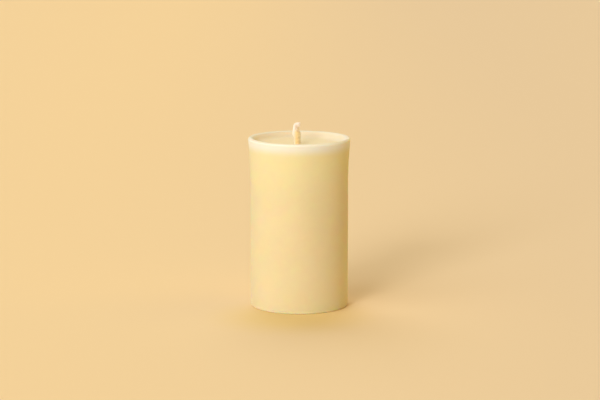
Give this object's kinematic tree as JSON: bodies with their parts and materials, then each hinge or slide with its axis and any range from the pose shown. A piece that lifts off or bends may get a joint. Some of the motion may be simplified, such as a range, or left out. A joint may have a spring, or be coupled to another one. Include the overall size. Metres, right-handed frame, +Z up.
{
  "type": "pillar candle",
  "caption": "Plain smooth wax pillar candle with a softly flared, rounded rim, a dished top and a short wick with a hooked tip; stands on its flat base.",
  "frame": {"origin": "centre of the base, on the surface that the candle stands on", "axes": "+Z up the body; -Y towards the viewer; the wick's last strand hooks over towards +X"},
  "size_m": [0.0762, 0.0762, 0.1386],
  "materials": {
    "wax": "smooth cast wax, pale ivory, translucent, soft satin sheen",
    "wick_cotton": "bleached cotton braid, waxed below its cut end",
    "primer_wax": "thin skin of warm yellow wax soaked into the braid",
    "tinned_steel": "tin-plated stamping"
  },
  "bodies": {
    "root": {"wax_pillar": "wax", "wick_core": "wick_cotton", "wick_braid": "wick_cotton", "wick_primer": "primer_wax", "wick_sustainer": "tinned_steel"}
  },
  "joints": []
}
